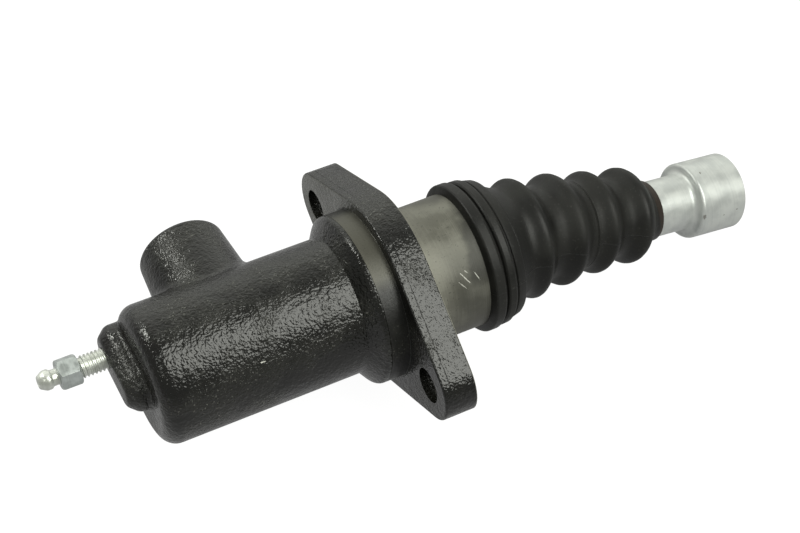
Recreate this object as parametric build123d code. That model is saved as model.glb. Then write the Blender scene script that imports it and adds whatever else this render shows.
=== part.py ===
from build123d import *
import os
from math import cos, pi, radians, sin, sqrt, tan

# Clutch slave cylinder, millimetres
# X runs along the bore towards the pushrod, Y towards the inlet port, Z up
# The origin is the centre of the flange's mounting face

# Casting: barrel
bore_radius = 19.05
barrel_radius = 25.15
barrel_length = 99.5
end_wall = 9.5
end_rounding = 6.0
bore_bottom_drop = 2.0
bore_floor_radius = 11.0

# Casting: flange
flange_thickness = 12.0
hole_pitch = 88.7
hole_radius = 6.5
lobe_radius = 13.0
flange_half_height = 35.5
flange_edge_rounding = 0.8

# Casting: collar between barrel and flange
collar_radius = 31.4
collar_length = 7.2
shoulder_length = 5.7
shoulder_land = 1.3
shoulder_rounding = 2.4

# Casting: pilot spigot
spigot_radius = 25.0
spigot_length = 37.5
boot_land_step = 0.3
mouth_chamfer = 1.0

# Casting: inlet port
port_station = 65.0
port_height = 46.5
port_radius = 16.0
port_draft = 4.4
port_rounding = 1.9
port_blend = 5.0
port_thread_radius = 7.25
port_thread_depth = 18.0
port_seat_radius = 11.5
port_seat_depth = 0.8
port_passage_radius = 2.5

# Casting: pad on the closed end
pad_height = 7.5
pad_taper_height = 3.8
pad_half_width = 8.5
pad_taper = 3.4
pad_low_end = -2.5
pad_inset = 0.8
pad_edge_rounding = 2.4
pad_side_rounding = 4.0
pad_root_blend = 1.8

# Bleed screw
bleed_offset = 13.3
bleed_radius = 4.0
bleed_hole_depth = 11.5
bleed_seat_gap = 0.15
bleed_passage_radius = 1.5
bleed_stem = 9.5
hex_across_flats = 10.0
hex_length = 7.4
nipple_neck_radius = 2.9
nipple_neck_length = 2.2
nipple_bulb_radius = 3.6
nipple_length = 7.2
nipple_bore_radius = 1.2

# Piston group, at its outward stop
stop_setback = 4.25
ring_thickness = 1.75
ring_width = 3.6
ring_groove_depth = 1.3
washer_thickness = 1.5
washer_width = 2.4
piston_length = 50.0
piston_slack = 0.3
guide_ring_width = 4.0
guide_ring_depth = 2.0
guide_ring_inset = 7.0
seal_width = 7.0
seal_depth = 4.2
rear_land = 2.2
nose_radius = 9.0
nose_length = 7.0
spring_seat_gauge = 1.2
spring_wire_radius = 0.9
spring_coil_radius = 13.6
spring_coils = 9

# Pushrod
rod_droop = 8.94
ball_radius = 9.0
ball_inset = 10.0
ball_neck_radius = 6.5
shank_radius = 7.5
shank_start = 17.0
shank_cone = 5.0
rod_neck_radius = 10.8
rod_neck_length = 28.2
head_radius = 14.65
head_length = 20.6
rod_length = 123.8
head_back_rounding = 1.2
head_front_chamfer = 0.6
head_fillet = 2.0
socket_radius = 10.0
socket_depth = 4.0
clip_wire_radius = 0.8

# Dust boot's collar, with places measured from the start of its seat
boot_seat_width = 14.3
boot_wall = 1.6
boot_lip_radius = 28.0
boot_lip_slope = 1.8
boot_lip_width = 4.0
boot_bead_depth = 1.8
boot_bead_width = 4.0
boot_bead_place = 3.8
boot_waist_radius = 26.6
boot_waist_place = 7.0
boot_ring_radius = 27.3
boot_ring_place = 10.6
boot_step_radius = 25.4
boot_step_place = 13.7
boot_shoulder_radius = 24.4
boot_shoulder_place = 16.4

# Dust boot's bellows and cuff
boot_bend_overlap = 5.5
bellows_root_gap = 1.7
bellows_root_radius = 23.4
throat_gap = 6.1
throat_radius = 20.8
first_crest_rise = 5.7
bellows_waves = 4
first_crest_radius = 22.5
last_crest_radius = 18.3
first_valley_radius = 18.5
last_valley_radius = 16.0
crest_fullness = 0.6
wave_steps = 4
cuff_cone = 10.3
cuff_width = 1.0
cuff_radius = 11.6
cuff_setback = 16.1
cuff_lip = 2.0
cuff_bead_width = 3.0
cuff_bead_depth = 1.2

# Clearances
running_clearance = 0.06
seat_clearance = 0.3
fit_clearance = 0.1
grip_clearance = 0.08


def turned(*corners):
    """Solid of revolution about X from (x, radius) or (x, radius, rounding) corners."""
    points = [(corner[0], corner[1]) for corner in corners]
    roundings = [corner[2] if len(corner) > 2 else 0 for corner in corners]
    outline = FilletPolyline(*points, radius=roundings, close=True)
    return revolve(make_face(outline), Axis.X)


def along_x(x, y, z):
    """Workplane at a point, facing +X, with its own x direction along +Y."""
    return Plane(origin=(x, y, z), x_dir=(0, 1, 0), z_dir=(1, 0, 0))


# Stations along the bore
bore_end = -(barrel_length - end_wall)
pad_face = -(barrel_length + pad_height)
collar_start = -(flange_thickness + collar_length)
shoulder_start = collar_start - shoulder_length
ring_station = spigot_length - stop_setback - ring_thickness
piston_front = ring_station - washer_thickness
piston_rear = piston_front - piston_length
ball_centre = piston_front - ball_inset
boot_land_radius = spigot_radius - boot_land_step
pilot_length = spigot_length - boot_seat_width
boot_groove_start = pilot_length + boot_bead_place
boot_groove_end = boot_groove_start + boot_bead_width
head_start = rod_length - head_length
rod_neck_start = head_start - rod_neck_length
shank_end = rod_neck_start - shank_cone
cuff_end = head_start - cuff_setback
hole_offset = hole_pitch / 2


def flange():
    centre = Circle(flange_half_height)
    lobes = [Pos(side * hole_offset, 0) * Circle(lobe_radius) for side in (-1, 1)]
    outline = make_hull((centre + lobes[0]).edges() + lobes[1].edges())
    plate = extrude(along_x(-flange_thickness, 0, 0) * outline, flange_thickness)
    rim = plate.edges().group_by(Axis.X)[0]
    plate = fillet(rim, flange_edge_rounding)
    for side in (-1, 1):
        plate -= along_x(-flange_thickness / 2, side * hole_offset, 0) * Cylinder(
            hole_radius, 2 * flange_thickness
        )
    return plate


def port_boss():
    """Drafted round boss from the bore axis out to the port face, along +Y."""
    foot_radius = port_radius + port_height * tan(radians(port_draft))
    outline = FilletPolyline(
        (0, 0), (foot_radius, 0), (port_radius, port_height), (0, port_height),
        radius=[0, 0, port_rounding, 0], close=True,
    )
    boss = revolve(make_face(outline), Axis.Y)
    return Pos(-port_station, 0, 0) * boss


def end_pad():
    """Raised oval pad on the closed end, tapered towards the bleed screw's face."""
    far_end = barrel_radius - pad_inset - pad_half_width
    middle = (pad_low_end + far_end) / 2
    oval = SlotCenterToCenter(far_end - pad_low_end, 2 * pad_half_width)
    top = SlotCenterToCenter(far_end - pad_low_end, 2 * (pad_half_width - pad_taper))
    root = Plane(origin=(bore_end, middle, 0), x_dir=(0, 1, 0), z_dir=(-1, 0, 0))
    straight = end_wall + pad_height - pad_taper_height
    base = extrude(root * oval, straight)
    taper = loft([root.offset(straight) * oval, root.offset(straight + pad_taper_height) * top])
    pad = base + taper
    pad = fillet(pad.edges().group_by(Axis.X)[0], pad_edge_rounding)
    shoulder = pad.edges().filter_by(lambda edge: abs(edge.center().X - bore_end + straight) < 0.001)
    return fillet(shoulder, pad_side_rounding)


def cylinder_body():
    outside = turned(
        (-barrel_length, 0),
        (-barrel_length, barrel_radius, end_rounding),
        (shoulder_start, barrel_radius),
        (collar_start - shoulder_land, collar_radius, shoulder_rounding),
        (-flange_thickness / 2, collar_radius),
        (-flange_thickness / 2, spigot_radius),
        (pilot_length, spigot_radius),
        (pilot_length, boot_land_radius),
        (boot_groove_start, boot_land_radius),
        (boot_groove_start, boot_land_radius - boot_bead_depth),
        (boot_groove_end, boot_land_radius - boot_bead_depth),
        (boot_groove_end, boot_land_radius),
        (spigot_length, boot_land_radius, mouth_chamfer),
        (spigot_length, 0),
    )
    body = Rot(-90, 0, 0) * outside + port_boss()
    seam = [
        edge
        for edge in body.edges()
        if edge.bounding_box().center().Y > bore_radius / 2
        and abs(edge.bounding_box().center().X + port_station) < port_radius / 2
        and edge.bounding_box().size.X > port_radius
        and edge.bounding_box().size.Y > 1
    ]
    body = fillet(seam, port_blend)
    body += end_pad()
    pad_root = [
        edge
        for edge in body.edges()
        if edge.bounding_box().min.X > -barrel_length - 0.01
        and edge.bounding_box().max.X < -barrel_length + end_rounding + 0.01
        and edge.center().Y > pad_low_end - pad_half_width - 0.01
        and abs(edge.center().Z) < pad_half_width + 0.01
    ]
    body = fillet(pad_root, pad_root_blend)
    body += flange()
    bore = turned(
        (bore_end - bore_bottom_drop, 0),
        (bore_end - bore_bottom_drop, bore_floor_radius - bore_bottom_drop),
        (bore_end, bore_floor_radius),
        (bore_end, bore_radius, 1.5),
        (ring_station, bore_radius),
        (ring_station, bore_radius + ring_groove_depth),
        (ring_station + ring_thickness + fit_clearance, bore_radius + ring_groove_depth),
        (ring_station + ring_thickness + fit_clearance, bore_radius),
        (spigot_length - mouth_chamfer, bore_radius),
        (spigot_length, bore_radius + mouth_chamfer),
        (spigot_length + mouth_chamfer, bore_radius + mouth_chamfer),
        (spigot_length + mouth_chamfer, 0),
    )
    body -= bore
    body -= port_cut()
    return body - bleed_cut()


def port_cut():
    """Seat, tapped hole and passage of the inlet port, down into the bore."""
    seat_floor = port_height - port_seat_depth
    thread_floor = seat_floor - port_thread_depth
    outline = Polyline(
        (0, 0), (port_passage_radius, 0), (port_passage_radius, thread_floor),
        (port_thread_radius, thread_floor + 2), (port_thread_radius, seat_floor),
        (port_seat_radius, seat_floor), (port_seat_radius, port_height + 1), (0, port_height + 1),
        close=True,
    )
    return Pos(-port_station, 0, 0) * revolve(make_face(outline), Axis.Y)


# Bleed screw's hole and the cone it closes on
bleed_hole_radius = bleed_radius + running_clearance
bleed_floor = pad_face + bleed_hole_depth
bleed_cone_end = bleed_floor + bleed_hole_radius - bleed_passage_radius


def bleed_cut():
    """Tapped hole with a conical seat and a passage into the end of the bore."""
    return Pos(0, bleed_offset, 0) * turned(
        (pad_face - 1, 0),
        (pad_face - 1, bleed_hole_radius),
        (bleed_floor, bleed_hole_radius),
        (bleed_cone_end, bleed_passage_radius),
        (bore_end + 1, bleed_passage_radius),
        (bore_end + 1, 0),
    )


def bleed_screw():
    tip = bleed_cone_end - bleed_seat_gap
    hex_start = pad_face - bleed_stem
    hex_end = hex_start - hex_length
    neck_end = hex_end - nipple_neck_length
    nipple_end = hex_end - nipple_length
    stem = turned(
        (hex_end + 0.2, 0),
        (tip, 0),
        (tip - bleed_radius + bleed_passage_radius, bleed_radius),
        (hex_start, bleed_radius),
        (hex_start, bleed_radius - 0.4),
        (hex_end + 0.2, bleed_radius - 0.4),
    )
    corner = hex_across_flats / sqrt(3)
    prism = extrude(
        along_x(hex_end, 0, 0) * Rot(0, 0, 15) * RegularPolygon(corner, 6),
        hex_length,
    )
    crown = turned(
        (hex_end, 0),
        (hex_end, hex_across_flats / 2),
        (hex_end + 0.5 * (corner - hex_across_flats / 2) + 0.3, corner),
        (hex_start - 0.5 * (corner - hex_across_flats / 2) - 0.3, corner),
        (hex_start, hex_across_flats / 2),
        (hex_start, 0),
    )
    nipple = turned(
        (nipple_end, 0),
        (nipple_end, nipple_neck_radius - 0.6, 0.5),
        (nipple_end + 2.4, nipple_bulb_radius, 1.2),
        (neck_end - 0.6, nipple_bulb_radius, 0.5),
        (neck_end, nipple_neck_radius, 0.4),
        (hex_end + 0.2, nipple_neck_radius),
        (hex_end + 0.2, 0),
    )
    screw = stem + (prism & crown) + nipple
    cross_station = tip - bleed_radius + bleed_passage_radius - nipple_bore_radius - 0.5
    depth = cross_station - nipple_end
    drilling = along_x(nipple_end + depth / 2 - 0.5, 0, 0) * Cylinder(nipple_bore_radius, depth + 1)
    cross = Pos(cross_station, 0, 0) * Cylinder(nipple_bore_radius, 4 * bleed_radius)
    return Pos(0, bleed_offset, 0) * (screw - drilling - cross)


# Piston group
guide_radius = bore_radius - running_clearance
piston_radius = bore_radius - piston_slack
front_ring_start = piston_front - guide_ring_inset - guide_ring_width
seal_rear = piston_rear + rear_land
seal_front = seal_rear + seal_width
rear_ring_start = seal_front + 3.0
groove_floor = guide_radius - guide_ring_depth
seal_floor = guide_radius - seal_depth
seat_radius = ball_radius + running_clearance
clip_radius = ball_radius + clip_wire_radius - 0.5
clip_station = ball_centre + sqrt((ball_radius + clip_wire_radius + seat_clearance) ** 2 - clip_radius**2)


def piston():
    body = turned(
        (piston_rear - nose_length, 0),
        (piston_rear - nose_length, nose_radius, 0.8),
        (piston_rear, nose_radius),
        (piston_rear, piston_radius - 1.2),
        (seal_rear, piston_radius - 1.2),
        (seal_rear, seal_floor),
        (seal_front, seal_floor),
        (seal_front, piston_radius),
        (rear_ring_start, piston_radius),
        (rear_ring_start, groove_floor),
        (rear_ring_start + guide_ring_width, groove_floor),
        (rear_ring_start + guide_ring_width, piston_radius),
        (front_ring_start, piston_radius),
        (front_ring_start, groove_floor),
        (front_ring_start + guide_ring_width, groove_floor),
        (front_ring_start + guide_ring_width, piston_radius),
        (piston_front, piston_radius, 1.0),
        (piston_front, 0),
    )
    groove_half = clip_wire_radius + fit_clearance
    mouth_radius = ball_neck_radius + ball_inset * sin(radians(2 * rod_droop)) + 1.5
    socket = turned(
        (ball_centre, 0),
        (ball_centre, seat_radius),
        (clip_station - groove_half, seat_radius),
        (clip_station - groove_half, clip_radius + groove_half),
        (clip_station + groove_half, clip_radius + groove_half),
        (clip_station + groove_half, seat_radius + 0.2),
        (piston_front, mouth_radius),
        (piston_front + 1, mouth_radius),
        (piston_front + 1, 0),
    )
    return body - socket - Pos(ball_centre, 0, 0) * Sphere(seat_radius)


def guide_ring(start):
    band = turned(
        (start, groove_floor),
        (start + guide_ring_width, groove_floor),
        (start + guide_ring_width, guide_radius, 0.3),
        (start, guide_radius, 0.3),
    )
    slit = Pos(start + guide_ring_width / 2, 0, -guide_radius) * Rot(0, 0, 30) * Box(
        3 * guide_ring_width, 0.6, 4 * guide_ring_depth
    )
    return band - slit


def main_cup_seal():
    """Lip seal with its open side towards the fluid."""
    lip = seal_depth / 3
    return turned(
        (seal_front, seal_floor),
        (seal_front, guide_radius - 0.3),
        (seal_front - 2.2, guide_radius - 0.3, 0.4),
        (seal_rear + 0.5, guide_radius),
        (seal_rear, guide_radius - 0.5),
        (seal_rear, guide_radius - lip),
        (seal_front - 3.2, guide_radius - seal_depth / 2),
        (seal_rear, seal_floor + lip),
        (seal_rear, seal_floor),
    )


def spring_seat():
    """Pressed cup over the piston's nose, flanged to carry the last coil."""
    inner = nose_radius + fit_clearance
    front = piston_rear
    rear = piston_rear - nose_length - spring_seat_gauge
    return turned(
        (front, inner),
        (front, spring_coil_radius + 2 * spring_wire_radius, 0.5),
        (front - spring_seat_gauge, spring_coil_radius + 2 * spring_wire_radius, 0.5),
        (front - spring_seat_gauge, inner + spring_seat_gauge, 0.8),
        (rear, inner + spring_seat_gauge, 1.0),
        (rear, 3.0),
        (rear + spring_seat_gauge, 3.0),
        (rear + spring_seat_gauge, inner, 0.3),
    )


def preload_spring():
    """Compression spring from the bore's end to the spring seat."""
    first = bore_end + spring_wire_radius + 0.05
    last = piston_rear - spring_seat_gauge - spring_wire_radius
    helix = Helix((last - first) / spring_coils, last - first, spring_coil_radius, center=(first, 0, 0),
                  direction=(1, 0, 0))
    section = Plane(origin=helix @ 0, z_dir=helix % 0) * Circle(spring_wire_radius)
    return sweep(section, path=helix, is_frenet=True)


def washer():
    outer = bore_radius - fit_clearance
    return turned(
        (piston_front, outer - washer_width),
        (ring_station, outer - washer_width),
        (ring_station, outer),
        (piston_front, outer),
    )


def snap_ring():
    """Internal circlip with two eyed lugs at its gap, beside the swinging rod."""
    outer = bore_radius + ring_groove_depth - fit_clearance
    inner = outer - ring_width
    lug = ring_width
    plane = along_x(ring_station, 0, 0)
    ring = Circle(outer) - Pos(0.4, 0) * Circle(inner)
    lugs = [Rot(0, 0, 180 + side * 13) * Pos(inner, 0) * Circle(lug) for side in (-1, 1)]
    eyes = [Rot(0, 0, 180 + side * 13) * Pos(inner - 0.6, 0) * Circle(1.25) for side in (-1, 1)]
    gap = Pos(-outer, 0) * Rectangle(4 * lug, 2 * lug - 1.6)
    profile = ((ring + lugs[0] + lugs[1]) & Circle(outer)) - gap - eyes[0] - eyes[1]
    return extrude(plane * profile, ring_thickness)


def pushrod_clip():
    """Wire ring in the piston's mouth, split at the bottom."""
    ring = Pos(clip_station, 0, 0) * Rot(0, 90, 0) * Torus(clip_radius, clip_wire_radius)
    return ring - Pos(clip_station, 0, -clip_radius) * Box(4, 3, 6)


# Tilt that carries a rod turned about X to its hanging place in the piston
rod_place = Pos(ball_centre, 0, 0) * Rot(0, rod_droop, 0)


def pushrod():
    ball_blend = sqrt(ball_radius**2 - ball_neck_radius**2)
    groove_end = cuff_end - cuff_lip
    groove_start = groove_end - cuff_bead_width
    rod = turned(
        (0, 0),
        (0, ball_neck_radius),
        (shank_start - 3, ball_neck_radius, 4.0),
        (shank_start, shank_radius, 2.0),
        (shank_end, shank_radius, 4.0),
        (rod_neck_start, rod_neck_radius, 2.0),
        (groove_start, rod_neck_radius),
        (groove_start, rod_neck_radius - cuff_bead_depth),
        (groove_end, rod_neck_radius - cuff_bead_depth),
        (groove_end, rod_neck_radius),
        (head_start, rod_neck_radius, head_fillet),
        (head_start, head_radius, head_back_rounding),
        (rod_length - head_front_chamfer, head_radius),
        (rod_length, head_radius - head_front_chamfer),
        (rod_length, 0),
    )
    rod += Sphere(ball_radius)
    socket_centre = rod_length + socket_radius - socket_depth
    return rod_place * (rod - Pos(socket_centre, 0, 0) * Sphere(socket_radius))


def rod_point(station):
    """Point on the hanging rod's axis at a distance from the ball's centre."""
    return (rod_place * Pos(station, 0, 0)).position


def boot_plane(x):
    """Plane across the boot's bent centreline at a station along the bore."""
    end = rod_point(cuff_end)
    start = spigot_length - boot_bend_overlap
    span = end.X - start
    slope = -tan(radians(rod_droop))
    t = max(0.0, (x - start) / span)
    drop = end.Z * (3 * t**2 - 2 * t**3) + span * slope * (t**3 - t**2)
    rate = end.Z * (6 * t - 6 * t**2) / span + slope * (3 * t**2 - 2 * t)
    return Plane(origin=(x, 0, drop), x_dir=(0, 1, 0), z_dir=(1, 0, rate))


cuff_start = rod_point(cuff_end).X - cuff_width


def bellows_turns():
    """Stations and radii of the boot's valleys and crests, from its collar to its cuff."""
    throat = spigot_length + throat_gap
    first = throat + first_crest_rise
    pitch = (cuff_start - cuff_cone - first) / (bellows_waves - 1)
    turns = [(spigot_length + bellows_root_gap, bellows_root_radius), (throat, throat_radius)]
    for wave in range(bellows_waves):
        crest_share = wave / (bellows_waves - 1)
        valley_share = wave / (bellows_waves - 2)
        crest = first_crest_radius + (last_crest_radius - first_crest_radius) * crest_share
        valley = first_valley_radius + (last_valley_radius - first_valley_radius) * valley_share
        turns += [(first + wave * pitch, crest), (first + (wave + 0.5) * pitch, valley)]
    return turns[:-1] + [(cuff_start, cuff_radius)]


def bellows(offset, last_station):
    """Sections through valleys, flanks and crests, their radii reduced by offset."""
    sections = []
    turns = bellows_turns()
    for (x0, r0), (x1, r1) in zip(turns, turns[1:]):
        for step in range(wave_steps):
            rise = (1 - cos(pi * step / wave_steps)) / 2
            rise = rise**crest_fullness if r1 > r0 else 1 - (1 - rise) ** crest_fullness
            x = x0 + (x1 - x0) * step / wave_steps
            if x <= last_station:
                sections.append(boot_plane(x) * Circle(r0 + (r1 - r0) * rise - offset))
    return sections


def cuff_hole():
    """Grip of the cuff on the rod's neck, with the bead that fills the rod's groove."""
    free = rod_neck_radius + grip_clearance
    bead = free - cuff_bead_depth
    bead_end = cuff_end - cuff_lip - fit_clearance
    bead_start = bead_end - cuff_bead_width + 2 * fit_clearance
    return rod_place * turned(
        (shank_end, 0),
        (shank_end, free),
        (bead_start, free),
        (bead_start, bead),
        (bead_end, bead),
        (bead_end, free),
        (cuff_end + 5, free),
        (cuff_end + 5, 0),
    )


def dust_boot():
    lip_inner = boot_land_radius + fit_clearance / 2
    throat = spigot_length + throat_gap
    collar = turned(
        (pilot_length, lip_inner),
        (pilot_length + boot_lip_slope, boot_lip_radius, 0.5),
        (pilot_length + boot_lip_width, boot_lip_radius, 0.8),
        (pilot_length + boot_waist_place, boot_waist_radius, 2.0),
        (pilot_length + boot_ring_place - 1.4, boot_ring_radius, 1.0),
        (pilot_length + boot_ring_place + 1.2, boot_ring_radius, 1.0),
        (pilot_length + boot_step_place, boot_step_radius, 0.6),
        (pilot_length + boot_step_place + 0.8, boot_shoulder_radius, 0.3),
        (pilot_length + boot_shoulder_place, boot_shoulder_radius, 0.8),
        (throat, throat_radius),
        (throat, throat_radius - boot_wall),
        (spigot_length + fit_clearance, throat_radius - boot_wall),
        (spigot_length + fit_clearance, lip_inner),
        (boot_groove_end - fit_clearance, lip_inner),
        (boot_groove_end - fit_clearance, lip_inner - boot_bead_depth),
        (boot_groove_start + fit_clearance, lip_inner - boot_bead_depth),
        (boot_groove_start + fit_clearance, lip_inner),
    )
    tilt = radians(rod_droop)
    rim = Plane(rod_point(cuff_end), x_dir=(0, 1, 0), z_dir=(cos(tilt), 0, -sin(tilt)))
    outside = bellows(0, cuff_start)
    outside += [place * Circle(cuff_radius) for place in (boot_plane(cuff_start), rim)]
    inside = bellows(boot_wall, rod_point(rod_neck_start + 2).X)
    return collar + (loft(outside, ruled=True) - loft(inside, ruled=True) - cuff_hole())


nodes = {
    "cylinder_body": cylinder_body(),
    "bleed_screw": bleed_screw(),
    "piston": piston(),
    "main_cup_seal": main_cup_seal(),
    "front_guide_ring": guide_ring(front_ring_start),
    "rear_guide_ring": guide_ring(rear_ring_start),
    "spring_seat": spring_seat(),
    "preload_spring": preload_spring(),
    "stop_washer": washer(),
    "snap_ring": snap_ring(),
    "pushrod_clip": pushrod_clip(),
    "pushrod": pushrod(),
    "dust_boot": dust_boot(),
}

os.makedirs("parts", exist_ok=True)
for name, shape in nodes.items():
    export_step(shape, f"parts/{name}.step")
    print(name, len(shape.solids()), round(shape.volume, 1))
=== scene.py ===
import bpy
from math import atan2, cos, pi, radians, sin
from mathutils import Matrix, Vector


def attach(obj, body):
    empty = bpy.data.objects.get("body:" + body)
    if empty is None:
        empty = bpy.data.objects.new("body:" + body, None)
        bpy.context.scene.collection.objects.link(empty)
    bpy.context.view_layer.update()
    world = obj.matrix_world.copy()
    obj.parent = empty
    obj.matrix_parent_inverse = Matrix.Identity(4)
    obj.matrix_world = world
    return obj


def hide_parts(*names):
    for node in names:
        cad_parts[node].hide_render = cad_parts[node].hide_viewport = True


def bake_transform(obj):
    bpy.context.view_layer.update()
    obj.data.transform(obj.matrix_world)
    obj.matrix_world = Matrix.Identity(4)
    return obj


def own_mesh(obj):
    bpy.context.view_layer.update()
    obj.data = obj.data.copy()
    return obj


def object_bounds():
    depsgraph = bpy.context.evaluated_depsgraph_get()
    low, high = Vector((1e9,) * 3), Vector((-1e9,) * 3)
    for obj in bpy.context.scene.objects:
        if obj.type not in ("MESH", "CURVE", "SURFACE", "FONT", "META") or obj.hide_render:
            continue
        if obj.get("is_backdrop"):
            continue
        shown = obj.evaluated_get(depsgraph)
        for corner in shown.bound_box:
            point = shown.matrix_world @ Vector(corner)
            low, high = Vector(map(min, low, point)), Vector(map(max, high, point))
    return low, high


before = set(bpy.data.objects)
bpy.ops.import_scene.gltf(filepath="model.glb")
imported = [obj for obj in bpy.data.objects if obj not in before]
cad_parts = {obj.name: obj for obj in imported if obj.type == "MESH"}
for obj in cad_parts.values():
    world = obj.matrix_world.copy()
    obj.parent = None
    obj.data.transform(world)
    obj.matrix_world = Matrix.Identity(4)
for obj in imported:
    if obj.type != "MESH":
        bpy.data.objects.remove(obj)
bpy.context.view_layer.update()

# Camera: stands above and behind the closed end, a little to the side away from the inlet port, and
# looks along the barrel towards the pushrod. A long lens, as for a shop picture.
camera_place = Vector((-0.20615, -0.35153, 0.51398))
camera_right = Vector((0.88844, -0.45691, 0.04377))
camera_up = Vector((0.33199, 0.70551, 0.62614))
bpy.ops.object.select_all(action="DESELECT")
bpy.ops.object.camera_add(location=camera_place)
camera = bpy.context.object
camera.name = "camera"
camera_axes = Matrix((camera_right, camera_up, camera_right.cross(camera_up)))
camera.rotation_euler = camera_axes.transposed().to_euler()
camera.data.sensor_width = 36.0
camera.data.lens = 82.69
camera.data.clip_start = 0.01
bpy.context.scene.camera = camera

# Table: a white acrylic light table that glows most in the middle, so that the part lies on white
# with almost no shadow. Its glow is turned down in the reflections, which keeps black paint black.
table_top = -0.0362
bpy.ops.object.select_all(action="DESELECT")
bpy.ops.mesh.primitive_plane_add(size=6.0, location=(0, 0, table_top))
table = bpy.context.object
table.name = "light_table"
acrylic = bpy.data.materials.new("white_acrylic")
acrylic.use_nodes = True
nodes, links = acrylic.node_tree.nodes, acrylic.node_tree.links
shader = nodes["Principled BSDF"]
shader.inputs["Base Color"].default_value = (0.12, 0.12, 0.12, 1)
shader.inputs["Roughness"].default_value = 1.0
shader.inputs["Specular IOR Level"].default_value = 0.0
shader.inputs["Emission Strength"].default_value = 1.0
spot = nodes.new("ShaderNodeTexCoord")
reach = nodes.new("ShaderNodeVectorMath")
reach.operation = "LENGTH"
links.new(spot.outputs["Object"], reach.inputs[0])
fade = nodes.new("ShaderNodeMapRange")
fade.interpolation_type = "SMOOTHSTEP"
fade.inputs["From Min"].default_value = 0.35
fade.inputs["From Max"].default_value = 1.2
fade.inputs["To Min"].default_value = 0.36
fade.inputs["To Max"].default_value = 0.05
links.new(reach.outputs["Value"], fade.inputs["Value"])
seen = nodes.new("ShaderNodeLightPath")
glow = nodes.new("ShaderNodeMapRange")
glow.inputs["To Max"].default_value = 0.96
links.new(fade.outputs["Result"], glow.inputs["To Min"])
links.new(seen.outputs["Is Camera Ray"], glow.inputs["Value"])
links.new(glow.outputs["Result"], shader.inputs["Emission Color"])
table.data.materials.append(acrylic)
table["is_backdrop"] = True


# Light: a long soft box overhead, two smaller ones round the closed end for the streaks on the port,
# the pad and the shoulder, and a pale room, brightest at the sweep of paper behind the part.
def soft_box(name, place, width, depth, power):
    """Rectangular lamp at a place, turned to face the part."""
    bpy.ops.object.select_all(action="DESELECT")
    bpy.ops.object.light_add(type="AREA", location=place)
    lamp = bpy.context.object
    lamp.name = name
    lamp.data.shape = "RECTANGLE"
    lamp.data.size = width
    lamp.data.size_y = depth
    lamp.data.energy = power
    lamp.data.color = (0.985, 1.0, 0.93)
    lamp.rotation_euler = (-Vector(place)).to_track_quat("-Z", "Y").to_euler()


soft_box("overhead_box", (0.34, -0.48, 0.85), 0.6, 0.95, 9.6)
soft_box("back_box", (-0.64, 0.58, 0.68), 0.24, 0.24, 3.6)
soft_box("end_box", (-0.72, -0.37, 0.72), 0.22, 0.22, 0.8)
room = bpy.data.worlds.new("pale_room")
room.use_nodes = True
nodes, links = room.node_tree.nodes, room.node_tree.links
spot = nodes.new("ShaderNodeTexCoord")
sweep = nodes.new("ShaderNodeVectorMath")
sweep.operation = "DOT_PRODUCT"
sweep.inputs[1].default_value = (0.30, 0.95, 0.05)
links.new(spot.outputs["Generated"], sweep.inputs[0])
fade = nodes.new("ShaderNodeMapRange")
fade.interpolation_type = "SMOOTHSTEP"
fade.inputs["From Min"].default_value = 0.2
fade.inputs["From Max"].default_value = 0.9
fade.inputs["To Min"].default_value = 0.36
fade.inputs["To Max"].default_value = 1.2
links.new(sweep.outputs["Value"], fade.inputs["Value"])
nodes["Background"].inputs["Color"].default_value = (0.985, 1.0, 0.93, 1)
links.new(fade.outputs["Result"], nodes["Background"].inputs["Strength"])
bpy.context.scene.world = room
bpy.context.scene.view_settings.view_transform = "Standard"
bpy.context.scene.view_settings.look = "None"

# Casting: grey iron cast in sand and painted satin black all over. The spigot, the band behind the
# flange, the mounting face, the port's seat and the bore are then turned bare and left oily.
MM = 0.001


def new_group(title, numbers, results, places=()):
    """New shader group with number and place inputs, number outputs and the piece's coordinates."""
    group = bpy.data.node_groups.new(title, "ShaderNodeTree")
    for name, value in numbers:
        socket = group.interface.new_socket(name=name, in_out="INPUT", socket_type="NodeSocketFloat")
        socket.default_value = value
    for name in places:
        group.interface.new_socket(name=name, in_out="INPUT", socket_type="NodeSocketVector")
    for name in results:
        group.interface.new_socket(name=name, in_out="OUTPUT", socket_type="NodeSocketFloat")
    here = group.nodes.new("ShaderNodeTexCoord").outputs["Object"]
    return group, group.nodes.new("NodeGroupInput").outputs, group.nodes.new("NodeGroupOutput").inputs, here


def connect(tree, value, socket):
    """Links a socket to an input, or writes a plain number or vector into it."""
    if isinstance(value, bpy.types.NodeSocket):
        tree.links.new(value, socket)
    else:
        socket.default_value = value


def maths(tree, operation, *values, clamp=False):
    """Math node on sockets or plain numbers."""
    node = tree.nodes.new("ShaderNodeMath")
    node.operation = operation
    node.use_clamp = clamp
    for value, socket in zip(values, node.inputs):
        connect(tree, value, socket)
    return node.outputs[0]


def product(tree, first, *others):
    """Product of sockets or plain numbers."""
    for value in others:
        first = maths(tree, "MULTIPLY", first, value)
    return first


def highest(tree, first, *others):
    """Highest of sockets or plain numbers."""
    for value in others:
        first = maths(tree, "MAXIMUM", first, value)
    return first


def noise(tree, where, scale, detail=2.0, stretch=(1, 1, 1), shift=(0, 0, 0)):
    """Noise on the piece's coordinates, stretched and shifted by a Mapping node."""
    mapping = tree.nodes.new("ShaderNodeMapping")
    mapping.inputs["Location"].default_value = shift
    mapping.inputs["Scale"].default_value = stretch
    tree.links.new(where, mapping.inputs["Vector"])
    node = tree.nodes.new("ShaderNodeTexNoise")
    connect(tree, scale, node.inputs["Scale"])
    node.inputs["Detail"].default_value = detail
    tree.links.new(mapping.outputs["Vector"], node.inputs["Vector"])
    return node.outputs["Fac"]


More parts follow.
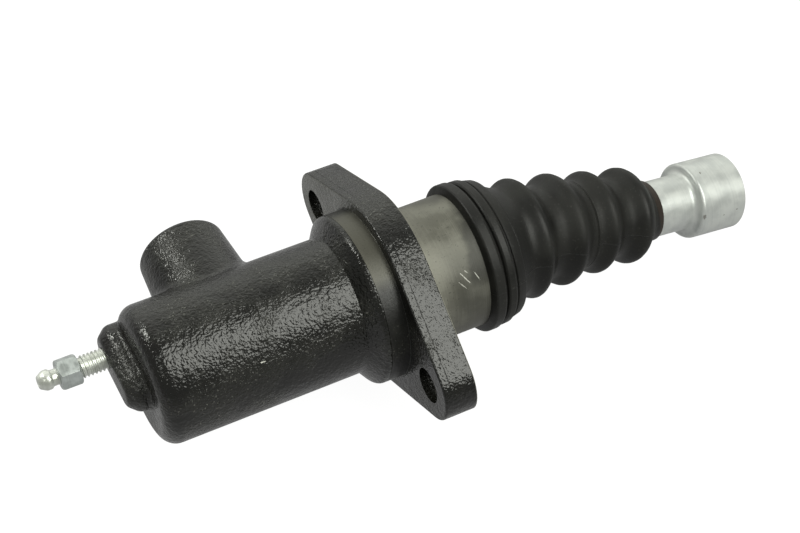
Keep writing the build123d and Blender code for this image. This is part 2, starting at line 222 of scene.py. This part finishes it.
def ease(tree, value, start, end, bottom=0.0, top=1.0):
    """Smooth step of a value, from bottom at start to top at end."""
    node = tree.nodes.new("ShaderNodeMapRange")
    node.interpolation_type = "SMOOTHSTEP"
    settings = {"Value": value, "From Min": start, "From Max": end, "To Min": bottom, "To Max": top}
    for title, number in settings.items():
        connect(tree, number, node.inputs[title])
    return node.outputs["Result"]


def blend_colours(tree, share, first, second):
    """Mix of two colours, given as sockets or as plain colours."""
    node = tree.nodes.new("ShaderNodeMix")
    node.data_type = "RGBA"
    tree.links.new(share, node.inputs["Factor"])
    for value, socket in ((first, node.inputs[6]), (second, node.inputs[7])):
        connect(tree, (*value, 1) if isinstance(value, tuple) else value, socket)
    return node.outputs[2]


def new_material(title, metallic=0.0, specular=0.5):
    """New material, with its node tree, its shader's sockets and the piece's coordinates."""
    material = bpy.data.materials.new(title)
    material.use_nodes = True
    tree = material.node_tree
    inputs = tree.nodes["Principled BSDF"].inputs
    inputs["Metallic"].default_value = metallic
    inputs["Specular IOR Level"].default_value = specular
    return material, tree, inputs, tree.nodes.new("ShaderNodeTexCoord").outputs["Object"]


def finish_nodes(names, material):
    """Gives CAD nodes a material in place of their own."""
    for name in names:
        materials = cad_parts[name].data.materials
        materials.clear()
        materials.append(material)


def axes(tree, here):
    """The three coordinates of the piece as numbers."""
    split = tree.nodes.new("ShaderNodeSeparateXYZ")
    tree.links.new(here, split.inputs[0])
    return split.outputs


def use_group(tree, group, **values):
    """Places a shader group in a material with that material's own values."""
    node = tree.nodes.new("ShaderNodeGroup")
    node.node_tree = group
    for name, value in values.items():
        connect(tree, value, node.inputs[name])
    return node.outputs


def bumped(tree, height, depth, strength, under=None):
    """Bump of a height, its depth in metres, laid over an earlier normal."""
    node = tree.nodes.new("ShaderNodeBump")
    node.inputs["Strength"].default_value = strength
    node.inputs["Distance"].default_value = depth
    tree.links.new(height, node.inputs["Height"])
    if under is not None:
        tree.links.new(under, node.inputs["Normal"])
    return node.outputs["Normal"]


turned_zone, given, result, here = new_group(
    "turned_zone",
    (
        ("Along", 0), ("Side", 0), ("Rise", 0), ("From", 0), ("To", 1),
        ("Inner", 0), ("Outer", 1), ("Edge", 0.0002),
    ),
    ("Mask",),
)
squares = [maths(turned_zone, "POWER", given[name], 2.0) for name in ("Side", "Rise")]
radius = maths(turned_zone, "SQRT", maths(turned_zone, "ADD", *squares))
mask = 1.0
for value, low, high in ((given["Along"], "From", "To"), (radius, "Inner", "Outer")):
    past_low = maths(turned_zone, "SUBTRACT", value, given[low])
    to_high = maths(turned_zone, "SUBTRACT", given[high], value)
    inside = [maths(turned_zone, "DIVIDE", gap, given["Edge"], clamp=True) for gap in (past_low, to_high)]
    mask = product(turned_zone, mask, product(turned_zone, *inside))
turned_zone.links.new(mask, result["Mask"])


def turned(tree, axis, start, end, inner=-1000, outer=200):
    """Mask of what lies between two places along a turned axis and two radii, in millimetres."""
    along, side, rise = axis
    return use_group(
        tree, turned_zone, Along=along, Side=side, Rise=rise,
        From=start * MM, To=end * MM, Inner=inner * MM, Outer=outer * MM,
    )["Mask"]


cast_skin, given, result, here = new_group(
    "cast_skin", (("Grain", 1300), ("Swell", 620)), ("Height", "Patches", "Specks")
)
fine = noise(cast_skin, here, given["Grain"], 1.0)
swell = noise(cast_skin, here, given["Swell"], 1.0, shift=(0.5, 0.2, 0.9))
height = maths(cast_skin, "ADD", product(cast_skin, fine, 0.7), swell)
cast_skin.links.new(height, result["Height"])
patches = noise(cast_skin, here, 60.0, 4.0, shift=(0.3, 0.1, 0.7))
cast_skin.links.new(ease(cast_skin, patches, 0.4, 0.66), result["Patches"])
specks = noise(cast_skin, here, 1300.0, 1.0, shift=(0.9, 0.4, 0.2))
cast_skin.links.new(ease(cast_skin, specks, 0.64, 0.74), result["Specks"])

turning_marks, given, result, here = new_group(
    "turning_marks", (("Pitch", 2600), ("Smear", 110)), ("Height", "Tone")
)
lines = noise(turning_marks, here, given["Pitch"], 3.0, stretch=(1, 0.004, 0.004))
smear = noise(turning_marks, here, given["Smear"], 5.0, shift=(0.2, 0.6, 0.1))
turning_marks.links.new(lines, result["Height"])
tone = maths(
    turning_marks, "ADD", product(turning_marks, smear, 0.75), product(turning_marks, lines, 0.25)
)
turning_marks.links.new(tone, result["Tone"])

scratch, given, result, here = new_group("scratch", (("Ragged", 2.2),), ("Mask",), ("Place", "Turn", "Size"))
frame_of = scratch.nodes.new("ShaderNodeMapping")
frame_of.vector_type = "TEXTURE"
scratch.links.new(here, frame_of.inputs["Vector"])
for name, socket in (("Place", "Location"), ("Turn", "Rotation"), ("Size", "Scale")):
    scratch.links.new(given[name], frame_of.inputs[socket])
far = scratch.nodes.new("ShaderNodeVectorMath")
far.operation = "LENGTH"
scratch.links.new(frame_of.outputs["Vector"], far.inputs[0])
ragged = product(scratch, maths(scratch, "SUBTRACT", noise(scratch, here, 2600.0), 0.5), given["Ragged"])
edge = maths(scratch, "ADD", far.outputs["Value"], ragged)
scratch.links.new(ease(scratch, edge, 0.75, 1.1, 1.0, 0.0), result["Mask"])


def scratches(tree, strokes):
    """Union of scratches, each from one point to another in millimetres, with its width."""
    total = 0.0
    for start, end, width in strokes:
        start, end = Vector(start) * MM, Vector(end) * MM
        run = end - start
        mask = use_group(
            tree, scratch, Place=(start + end) / 2, Turn=Vector(run.to_track_quat("X", "Z").to_euler()),
            Size=Vector((run.length / 2, width * MM / 2, width * MM / 2)),
        )["Mask"]
        total = maths(tree, "MAXIMUM", total, mask)
    return total


painted_iron, tree, inputs, here = new_material("painted_iron")
skin = use_group(tree, cast_skin)
marks = use_group(tree, turning_marks)
x, y, z = axes(tree, here)
port_x = -65 * MM
on_bore = (x, y, z)
on_port = (y, maths(tree, "SUBTRACT", x, port_x), z)
spigot = turned(tree, on_bore, 0.2, 200, outer=25.6)
face = turned(tree, on_bore, -0.3, 0.4, outer=70)
bore = turned(tree, on_bore, -92, 0.3, outer=20.5)
band = turned(tree, on_bore, -19.3, -11.9, 30.4, 32.0)
seat = turned(tree, on_port, 20, 45.9, outer=11.7)
back_face = turned(tree, on_bore, -12.3, -11.7, 31.6)
parting = turned(tree, on_bore, -9.2, -8.8, 32)

# Where it is bare: all that is turned, though the band behind the flange only on its upper side.
bare_band = product(tree, band, ease(tree, z, 24.5 * MM, 28.5 * MM, 0.0, 0.85))
bare = highest(tree, spigot, face, seat, bore, bare_band)

# Paint: two blacks in patches, dust in the pits, and a back face paler upwards: dust and painted light.
paint = blend_colours(tree, skin["Patches"], (0.0025, 0.0025, 0.0018), (0.010, 0.010, 0.0078))
# Flange's back face: dust, with painted light growing towards its upper side.
back_face_dust_and_light = product(tree, back_face, ease(tree, y, 5 * MM, 30 * MM, 0.0, 0.6))
dust_and_painted_light = highest(tree, product(tree, skin["Patches"], 0.8, skin["Specks"]), back_face_dust_and_light)
paint = blend_colours(tree, dust_and_painted_light, paint, (0.13, 0.13, 0.115))

# Bare metal: brighter where it is freshly cut, with rings, near the flange, and dark with oil
# towards the boot; below the spigot's top it is darkened as painted shade.
dark_oil = (0.03, 0.03, 0.026)
metal = blend_colours(tree, ease(tree, marks["Tone"], 0.38, 0.62), (0.10, 0.098, 0.08), (0.175, 0.173, 0.145))
grooved = product(tree, ease(tree, x, 0.3 * MM, 1.0 * MM), ease(tree, x, 6.2 * MM, 7.0 * MM, 1.0, 0.0))
ring_pitch = 1.496 * MM
rings = ease(tree, maths(tree, "SINE", product(tree, x, 2 * pi / ring_pitch)), -0.2, 0.9)
fresh_cut = highest(tree, product(tree, grooved, rings, 0.35), ease(tree, x, 2 * MM, 13 * MM, 0.4, 0.0))
metal = blend_colours(tree, fresh_cut, metal, (0.26, 0.255, 0.215))
smudge = product(tree, noise(tree, here, 260.0, 3.0, shift=(0.4, 0.8, 0.1)), 5 * MM)
stain = maths(tree, "ADD", maths(tree, "ADD", x, smudge), product(tree, y, -0.3))
stained = product(tree, ease(tree, stain, 21.0 * MM, 26.8 * MM, 0.0, 0.85), ease(tree, z, 8 * MM, 16 * MM))
# Painted shade: the spigot's side below its top, from 7 mm out towards the boot.
painted_shade_below_top = product(
    tree, ease(tree, x, 7 * MM, 15 * MM, 0.0, 0.36), ease(tree, z, 20.5 * MM, 24.9 * MM, 1.0, 0.0)
)
oil_and_painted_shade = highest(tree, stained, painted_shade_below_top, product(tree, skin["Specks"], 0.6))
metal = blend_colours(tree, oil_and_painted_shade, metal, dark_oil)
metal = blend_colours(tree, product(tree, band, 0.72), metal, (0.04, 0.038, 0.027))

# Scratches: four on the spigot's side and a chip beside the port, down to bright iron.
strokes = scratches(tree, (
    ((13.3, -17.6, 17.8), (16.4, -20.9, 13.8), 0.36),
    ((18.4, -18.3, 17.0), (20.0, -20.7, 14.1), 0.3),
    ((12.2, -19.7, 15.3), (14.5, -21.5, 12.8), 0.3),
    ((15.0, -17.2, 18.1), (16.2, -18.3, 17.0), 0.25),
    ((-64.0, -20.6, 14.4), (-61.8, -20.8, 14.2), 0.5),
))
colour = blend_colours(tree, bare, paint, metal)
tree.links.new(blend_colours(tree, strokes, colour, (0.55, 0.55, 0.50)), inputs["Base Color"])
tree.links.new(product(tree, bare, 0.35), inputs["Metallic"])
gloss = tree.nodes.new("ShaderNodeMix")
tree.links.new(highest(tree, bare, product(tree, band, 0.75)), gloss.inputs["Factor"])
tree.links.new(ease(tree, skin["Patches"], 0.0, 1.0, 0.15, 0.27), gloss.inputs[2])
tree.links.new(ease(tree, marks["Tone"], 0.35, 0.65, 0.43, 0.58), gloss.inputs[3])
tree.links.new(gloss.outputs[0], inputs["Roughness"])

# Relief: the sand's grain under the paint, the tool's lines on what was turned, and the mould's
# parting line round the flange's rim.
turned_band = product(tree, band, 0.8)
grain = product(
    tree, maths(tree, "SUBTRACT", 1.0, bare), maths(tree, "SUBTRACT", 1.0, turned_band),
    ease(tree, skin["Patches"], 0.0, 1.0, 0.6, 1.0), skin["Height"],
)
normal = bumped(tree, grain, 0.44 * MM, 1.0)
normal = bumped(tree, product(tree, marks["Height"], highest(tree, bare, turned_band)), 0.07 * MM, 0.6, normal)
parting = product(tree, parting, ease(tree, y, 8 * MM, 26 * MM, 0.25, 1.0), -1.0)
tree.links.new(bumped(tree, parting, 0.2 * MM, 0.9, normal), inputs["Normal"])
finish_nodes(("cylinder_body",), painted_iron)

# Inlet port's thread: cut in the casting to take the pipe's hollow bolt, a fine thread that winds
# down from the turned seat.


def threaded_ridge(name, axis, start, root, crest, pitch, turns, foot, top):
    """Ridge of a right-hand thread round an axis, from a four-sided outline wound up along it."""
    bpy.ops.object.select_all(action="DESELECT")
    turn = (pi / 2, 0, 0) if axis == "X" else (0, pi / 2, 0)
    middle = (root + crest) / 2
    place = (start, 0, middle) if axis == "X" else (0, start, middle)
    bpy.ops.mesh.primitive_plane_add(size=1.0, location=place, rotation=turn)
    ridge = bpy.context.object
    ridge.name = name
    bpy.ops.object.transform_apply(location=True, rotation=True, scale=True)
    bpy.ops.object.mode_set(mode="EDIT")
    bpy.ops.mesh.select_all(action="SELECT")
    tall = abs(crest - root)
    size = (foot, 1, tall) if axis == "X" else (1, foot, tall)
    bpy.ops.transform.resize(value=size, center_override=place)
    bpy.ops.mesh.delete(type="ONLY_FACE")
    bpy.ops.object.mode_set(mode="OBJECT")
    for vertex in ridge.data.vertices:
        vertex.select = (vertex.co.z > middle) == (crest > root)
    for edge in ridge.data.edges:
        edge.select = all(ridge.data.vertices[index].select for index in edge.vertices)
    bpy.ops.object.mode_set(mode="EDIT")
    size = (top / foot, 1, 1) if axis == "X" else (1, top / foot, 1)
    bpy.ops.transform.resize(value=size, center_override=place)
    bpy.ops.object.mode_set(mode="OBJECT")
    winding = ridge.modifiers.new("winding", "SCREW")
    winding.axis = axis
    winding.angle = 2 * pi * turns
    winding.screw_offset = pitch * turns
    winding.steps = winding.render_steps = 36 * turns
    bpy.ops.object.modifier_apply(modifier=winding.name)
    bpy.ops.object.mode_set(mode="EDIT")
    bpy.ops.mesh.select_all(action="SELECT")
    bpy.ops.mesh.fill_holes(sides=0)
    return ridge


def close_piece(smooth_angle):
    """Merges doubles, turns faces outwards and shades the open piece smooth."""
    bpy.ops.mesh.select_all(action="SELECT")
    bpy.ops.mesh.remove_doubles(threshold=1e-6)
    bpy.ops.mesh.normals_make_consistent(inside=False)
    bpy.ops.object.mode_set(mode="OBJECT")
    bpy.ops.object.shade_smooth_by_angle(angle=radians(smooth_angle))
    return bpy.context.object


port_thread = threaded_ridge(
    "port_thread", "Y", start=29.5 * MM, root=7.35 * MM, crest=6.5 * MM,
    pitch=1.5 * MM, turns=10, foot=1.3 * MM, top=0.25 * MM,
)
bpy.ops.transform.translate(value=(port_x, 0, 0))
port_thread = close_piece(30)
port_thread.data.materials.append(painted_iron)
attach(port_thread, "cylinder")

# Dust boot: one moulding in black rubber. A ringed collar grips a groove in the spigot, four soft
# convolutions follow the hanging rod, and a thick cuff sits in a groove of the rod's neck.
ball_x = 20 * MM
rod_tilt = radians(8.94)
rod_slope = -sin(rod_tilt) / cos(rod_tilt)
sag_start, sag_run, sag_drop = 34 * MM, 106 * MM, 17.7 * MM


def rod_point(distance):
    """Point on the hanging rod's axis, in metres from the ball's centre."""
    return Vector((ball_x + distance * cos(rod_tilt), 0, -distance * sin(rod_tilt)))


def boot_line(x):
    """Height and slope of the boot's sagging middle line at a place along the bore."""
    t = max(0.0, (x - sag_start) / sag_run)
    return -sag_drop * (3 * t**2 - 2 * t**3), -sag_drop * (6 * t - 6 * t**2) / sag_run


def start_ring(name, x, radius, z=0.0, slope=0.0, sides=128):
    """First edge ring of a tubular piece, across the bore's line, opened in edit mode."""
    bpy.ops.object.select_all(action="DESELECT")
    bpy.ops.mesh.primitive_circle_add(
        vertices=sides, radius=radius, location=(x, 0, z), rotation=(0, pi / 2 - atan2(slope, 1), 0)
    )
    bpy.context.object.name = name
    bpy.ops.object.transform_apply(location=True, rotation=True, scale=True)
    bpy.ops.object.mode_set(mode="EDIT")
    bpy.ops.mesh.select_all(action="SELECT")
    return {"x": x, "z": z, "r": radius, "slope": slope}


def pull_ring(ring, x, radius, z=0.0, slope=0.0):
    """Extrudes the selected ring to a new place, size and tilt."""
    bpy.ops.mesh.extrude_region_move(TRANSFORM_OT_translate={"value": (x - ring["x"], 0, z - ring["z"])})
    size = radius / ring["r"]
    bpy.ops.transform.resize(value=(size, size, size), center_override=(x, 0, z))
    turn = atan2(slope, 1) - atan2(ring["slope"], 1)
    if abs(turn) > 1e-6:
        bpy.ops.transform.rotate(value=turn, orient_axis="Y", center_override=(x, 0, z))
    ring.update(x=x, z=z, r=radius, slope=slope)


def finish_edges(piece, width):
    """Rounds the piece's sharp edges a little, as its mould or its last turning cut leaves them."""
    rounding = piece.modifiers.new("rounding", "BEVEL")
    rounding.width = width
    rounding.segments = 3
    rounding.limit_method = "ANGLE"
    rounding.angle_limit = radians(25)
    bpy.ops.object.modifier_apply(modifier=rounding.name)


# Collar: its outline in half section, once round from its front lip, place along the bore and radius
# in millimetres. A square front lip, two round beads with grooves between, and the gripping land.
collar_outline = (
    (23.2, 25.0), (24.2, 27.6), (24.7, 28.0), (27.6, 28.0), (28.3, 27.6), (28.6, 26.9),
    (28.9, 26.2), (29.2, 26.2), (29.5, 27.0), (30.1, 27.5), (32.3, 27.4), (32.9, 27.0),
    (33.2, 26.2), (33.5, 26.1), (33.9, 26.6), (36.8, 25.9), (37.5, 25.4), (37.7, 24.6),
    (38.0, 23.6), (38.4, 22.6), (38.4, 19.4), (37.7, 19.4), (37.7, 24.75), (23.2, 24.75),
)
ring = start_ring("boot_collar", 23.2 * MM, 24.75 * MM)
for x, radius in collar_outline:
    pull_ring(ring, x * MM, radius * MM)
boot_collar = close_piece(30)
finish_edges(boot_collar, 0.2 * MM)

# Bellows: the outside's turning points, valley and crest by turns, place along the bore and radius in
# millimetres. Each fold is narrower than the one before.
bends = (
    (43.08, 20.69), (48.85, 22.61), (56.29, 17.56), (63.74, 21.04),
    (72.56, 16.52), (78.76, 19.34), (87.14, 14.91), (94.06, 18.32),
)


def fold(start, end, parts=10):
    """Stations from one turning point to the next: narrow round crests and wide valleys."""
    for part in range(1, parts + 1):
        t = part / parts
        rise = (1 - cos(pi * t)) / 2 if end[1] > start[1] else (1 + cos(pi * t)) / 2
        low, high = sorted((start[1], end[1]))
        yield start[0] + (end[0] - start[0]) * t, low + (high - low) * rise**1.52


def bellows(name, first, stations, wall, last_rings=()):
    """Thin-walled bellows along the sagging line, with rings square to the rod after it."""
    ring = start_ring(name, first[0] * MM, first[1] * MM, *boot_line(first[0] * MM))
    for x, radius in stations:
        pull_ring(ring, x * MM, radius * MM, *boot_line(x * MM))
    for distance, radius in last_rings:
        place = rod_point(distance * MM)
        pull_ring(ring, place.x, radius * MM, place.z, rod_slope)
    piece = close_piece(60)
    thickness = piece.modifiers.new("thickness", "SOLIDIFY")
    thickness.thickness = wall
    thickness.offset = -1
    bpy.ops.object.modifier_apply(modifier=thickness.name)
    return piece


throat = [(37.9, 23.5), (38.6, 22.9), (40.0, 22.2), (41.5, 21.3), bends[0]]
front_folds = [place for pair in zip(bends[:4], bends[1:5]) for place in fold(*pair)]
rear_folds = [place for pair in zip(bends[4:7], bends[5:8]) for place in fold(*pair)]
neck = [(95.2, 18.15), (96.4, 17.5), (97.6, 16.4), (98.8, 15.0), (100.0, 13.7), (101.2, 12.7), (102.2, 12.15)]
cuff = [(84.6, 11.75), (86.7, 11.7), (87.0, 11.55), (87.1, 11.3), (87.1, 10.95), (78.0, 10.95), (76.5, 14.0)]
front_bellows = bellows("boot_front_bellows", (37.0, 23.6), throat + front_folds, 1.6 * MM)
rear_bellows = bellows("boot_rear_bellows", bends[4], rear_folds + neck, 0.7 * MM, cuff)
boot_rubber, tree, inputs, here = new_material("boot_rubber", specular=0.31)
skin = use_group(tree, cast_skin, Grain=3500.0, Swell=700.0)
x, y, z = axes(tree, here)
middle = ease(tree, x, sag_start, sag_start + sag_run, 0.0, -sag_drop)
mould_turn = radians(19)
off_line = maths(
    tree, "ADD", product(tree, y, sin(mould_turn)),
    product(tree, maths(tree, "SUBTRACT", z, middle), cos(mould_turn)),
)
mould_line = ease(tree, maths(tree, "ABSOLUTE", off_line), 0.05 * MM, 0.3 * MM, 1.0, 0.0)
nick = scratches(tree, (((34.6, -20.6, 14.6), (36.3, -21.4, 14.0), 0.6),))
# Cuff's rim: a brown ring, partly rust and partly a painted highlight.
rim_rust_and_highlight = ease(tree, x, 104.6 * MM, 105.4 * MM)
colour = blend_colours(tree, skin["Patches"], (0.004, 0.004, 0.0033), (0.009, 0.009, 0.0075))
colour = blend_colours(tree, product(tree, mould_line, 0.6), colour, (0.004, 0.004, 0.004))
colour = blend_colours(tree, product(tree, skin["Specks"], 0.05), colour, (0.25, 0.25, 0.23))
colour = blend_colours(tree, product(tree, rim_rust_and_highlight, 0.7), colour, (0.030, 0.020, 0.014))
tree.links.new(blend_colours(tree, nick, colour, (0.35, 0.35, 0.33)), inputs["Base Color"])
tree.links.new(ease(tree, skin["Patches"], 0.0, 1.0, 0.44, 0.57), inputs["Roughness"])
normal = bumped(tree, skin["Height"], 0.06 * MM, 0.6)
tree.links.new(bumped(tree, mould_line, 0.12 * MM, 0.8, normal), inputs["Normal"])
for piece in (boot_collar, front_bellows, rear_bellows):
    piece.data.materials.append(boot_rubber)
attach(boot_collar, "cylinder")
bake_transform(front_bellows)
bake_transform(rear_bellows)
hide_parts("dust_boot")

# Pushrod: free-cutting steel turned from the bar and bright zinc plated. Its ball is hidden in the
# piston and its head pushes the release lever.
rod_zinc, tree, inputs, here = new_material("rod_zinc", metallic=0.6)
marks = use_group(tree, turning_marks, Pitch=1500.0, Smear=160.0)
marred = scratches(tree, (
    ((123.1, -13.5, -12.3), (123.9, -14.2, -10.4), 1.6),
    ((128.0, -0.9, -2.2), (128.3, 0.1, -2.2), 0.7),
    ((138.2, -13.9, -14.1), (139.1, -13.9, -14.1), 0.6),
    ((132.1, -14.2, -14.2), (132.9, -14.2, -14.2), 0.5),
))
colour = blend_colours(tree, ease(tree, marks["Tone"], 0.35, 0.65), (0.47, 0.49, 0.48), (0.60, 0.62, 0.60))
colour = blend_colours(tree, product(tree, marred, 0.75), colour, (0.16, 0.15, 0.13))
tree.links.new(colour, inputs["Base Color"])
tree.links.new(ease(tree, marks["Tone"], 0.3, 0.7, 0.37, 0.5), inputs["Roughness"])
grain = use_group(tree, cast_skin, Grain=1900.0, Swell=900.0)
normal = bumped(tree, grain["Height"], 0.04 * MM, 0.7)
tree.links.new(bumped(tree, marks["Height"], 0.02 * MM, 0.3, normal), inputs["Normal"])
finish_nodes(("pushrod",), rod_zinc)

# Bleed screw: a hollow zinc-plated steel screw beside the pad's middle. A hexagon for the spanner, a
# rounded nipple for the hose, and a thread that closes its cone on the seat in the casting.
screw_outline = (
    (-130.7, 1.2), (-131.1, 1.5), (-131.1, 2.05), (-130.9, 2.35), (-129.1, 3.4),
    (-128.6, 3.58), (-127.6, 3.62), (-126.9, 3.5), (-126.4, 3.1), (-126.1, 2.9),
    (-124.4, 2.9), (-124.0, 3.2), (-123.8, 4.4), (-116.6, 4.4), (-116.4, 3.4),
    (-98.0, 3.4), (-97.4, 4.0), (-95.59, 4.0), (-93.09, 1.5),
)
ring = start_ring("bleed_nipple_screw", -97.0 * MM, 1.2 * MM, sides=48)
for x, radius in screw_outline:
    pull_ring(ring, x * MM, radius * MM)
bpy.ops.mesh.select_all(action="SELECT")
bpy.ops.mesh.fill_holes(sides=0)
screw_core = close_piece(35)
ring = start_ring("hexagon_crown", -123.9 * MM, 5.0 * MM, sides=96)
for x, radius in ((-123.1, 5.9), (-117.3, 5.9), (-116.5, 5.0)):
    pull_ring(ring, x * MM, radius * MM)
bpy.ops.mesh.select_all(action="SELECT")
bpy.ops.mesh.fill_holes(sides=0)
crown = close_piece(35)
bpy.ops.object.select_all(action="DESELECT")
hexagon_turn = (Matrix.Rotation(radians(15), 3, "X") @ Matrix.Rotation(pi / 2, 3, "Y")).to_euler()
bpy.ops.mesh.primitive_cylinder_add(
    vertices=6, radius=5.774 * MM, depth=7.4 * MM, location=(-120.2 * MM, 0, 0), rotation=hexagon_turn
)
hexagon = bpy.context.object
hexagon.name = "spanner_hexagon"
bpy.ops.object.transform_apply(location=True, rotation=True, scale=True)
finish_edges(hexagon, 0.12 * MM)
cut = hexagon.modifiers.new("crowned", "BOOLEAN")
cut.operation = "INTERSECT"
cut.object = crown
bpy.ops.object.modifier_apply(modifier=cut.name)
bpy.ops.object.shade_smooth_by_angle(angle=radians(20))
bpy.ops.object.select_all(action="DESELECT")
crown.select_set(True)
bpy.ops.object.delete()
threaded_ridge(
    "bleed_thread", "X", start=-115.9 * MM, root=3.3 * MM, crest=4.0 * MM,
    pitch=1.4 * MM, turns=13, foot=1.1 * MM, top=0.3 * MM,
)
screw_ridge = close_piece(30)
bpy.ops.object.select_all(action="DESELECT")
for piece in (hexagon, screw_ridge, screw_core):
    piece.select_set(True)
bpy.context.view_layer.objects.active = screw_core
bpy.ops.object.join()
bpy.ops.object.mode_set(mode="EDIT")
bpy.ops.mesh.select_all(action="SELECT")
screw_y = 13.3 * MM
bpy.ops.transform.translate(value=(0, screw_y, 0))
bpy.ops.object.mode_set(mode="OBJECT")
screw_zinc, tree, inputs, here = new_material("screw_zinc", metallic=0.75)
marks = use_group(tree, turning_marks, Pitch=1500.0, Smear=320.0)
tone = ease(tree, marks["Tone"], 0.35, 0.65)
yellowish = blend_colours(tree, tone, (0.56, 0.58, 0.53), (0.78, 0.80, 0.76))
bluish = blend_colours(tree, tone, (0.38, 0.41, 0.40), (0.56, 0.60, 0.59))
flats = turned(tree, axes(tree, here), -124.2, -116.2)
tree.links.new(blend_colours(tree, flats, yellowish, bluish), inputs["Base Color"])
tree.links.new(ease(tree, marks["Tone"], 0.3, 0.7, 0.28, 0.42), inputs["Roughness"])
tree.links.new(bumped(tree, marks["Height"], 0.03 * MM, 0.4), inputs["Normal"])
screw_core.data.materials.clear()
screw_core.data.materials.append(screw_zinc)
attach(screw_core, "bleed")
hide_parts("bleed_screw")

# Preload spring: cold-coiled spring wire in the pressure chamber. It keeps the piston and the rod
# against the release lever.
wire_radius, coil_radius, coils = 0.9 * MM, 13.6 * MM, 9
first_coil, wound_length = -89.05 * MM, 66.95 * MM
bpy.ops.object.select_all(action="DESELECT")
bpy.ops.mesh.primitive_circle_add(
    vertices=14, radius=wire_radius, location=(first_coil, 0, coil_radius), rotation=(pi / 2, 0, 0)
)
coil = bpy.context.object
coil.name = "coiled_spring"
bpy.ops.object.transform_apply(location=True, rotation=True, scale=True)
winding = coil.modifiers.new("winding", "SCREW")
winding.axis = "X"
winding.angle = 2 * pi * coils
winding.screw_offset = wound_length
winding.steps = winding.render_steps = 36 * coils
bpy.ops.object.modifier_apply(modifier=winding.name)
bpy.ops.object.mode_set(mode="EDIT")
bpy.ops.mesh.select_all(action="SELECT")
bpy.ops.mesh.fill_holes(sides=0)
coil = close_piece(50)


def plain_finish(title, group, shades, gloss, depth, strength, metallic=0.0, specular=0.5, **values):
    """Material of one shader group: two shades, two roughnesses and a bump's depth in millimetres."""
    material, tree, inputs, _ = new_material(title, metallic, specular)
    surface = use_group(tree, group, **values)
    tone, low, high = (surface["Tone"], 0.3, 0.7) if group == turning_marks else (surface["Patches"], 0.0, 1.0)
    tree.links.new(blend_colours(tree, tone, *shades), inputs["Base Color"])
    tree.links.new(ease(tree, tone, low, high, *gloss), inputs["Roughness"])
    tree.links.new(bumped(tree, surface["Height"], depth * MM, strength), inputs["Normal"])
    return material


spring_wire = plain_finish(
    "spring_wire", turning_marks, ((0.11, 0.11, 0.12), (0.30, 0.30, 0.31)), (0.3, 0.5), 0.02, 0.4,
    metallic=1.0, Pitch=900.0, Smear=240.0,
)
coil.data.materials.append(spring_wire)
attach(coil, "cylinder")
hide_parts("preload_spring")
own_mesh(coil)

# Spring seat, stop washer, snap ring and rod clip: pressed and coiled steel fittings that hold the
# spring, the piston and the rod's ball in their places.
pressed_steel = plain_finish(
    "pressed_steel", turning_marks, ((0.32, 0.31, 0.28), (0.58, 0.57, 0.53)), (0.3, 0.45), 0.03, 0.3,
    metallic=1.0, Pitch=700.0, Smear=200.0,
)
finish_nodes(("spring_seat", "stop_washer"), pressed_steel)
finish_nodes(("snap_ring", "pushrod_clip"), spring_wire)

# Piston: turned aluminium, hard anodised to a dull olive grey, with a socket for the rod's ball and
# grooves for the seal and the guide rings.
anodised = plain_finish(
    "anodised_aluminium", turning_marks, ((0.12, 0.12, 0.10), (0.24, 0.24, 0.20)), (0.4, 0.55), 0.04, 0.5,
    metallic=0.6, Pitch=1900.0, Smear=130.0,
)
finish_nodes(("piston",), anodised)

# Seal and guide rings: a rubber cup that holds the fluid, and two plastic bands, split to spring over
# the piston, that keep it off the bore.
seal_rubber = plain_finish(
    "seal_rubber", cast_skin, ((0.012, 0.012, 0.012), (0.024, 0.024, 0.023)), (0.35, 0.5), 0.02, 0.4,
    specular=0.4, Grain=4000.0, Swell=900.0,
)
guide_plastic = plain_finish(
    "guide_plastic", cast_skin, ((0.62, 0.58, 0.48), (0.72, 0.69, 0.60)), (0.35, 0.5), 0.02, 0.4,
    Grain=3000.0, Swell=500.0,
)
finish_nodes(("main_cup_seal",), seal_rubber)
finish_nodes(("front_guide_ring", "rear_guide_ring"), guide_plastic)

# Sizes: the whole object's box, as built.
low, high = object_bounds()
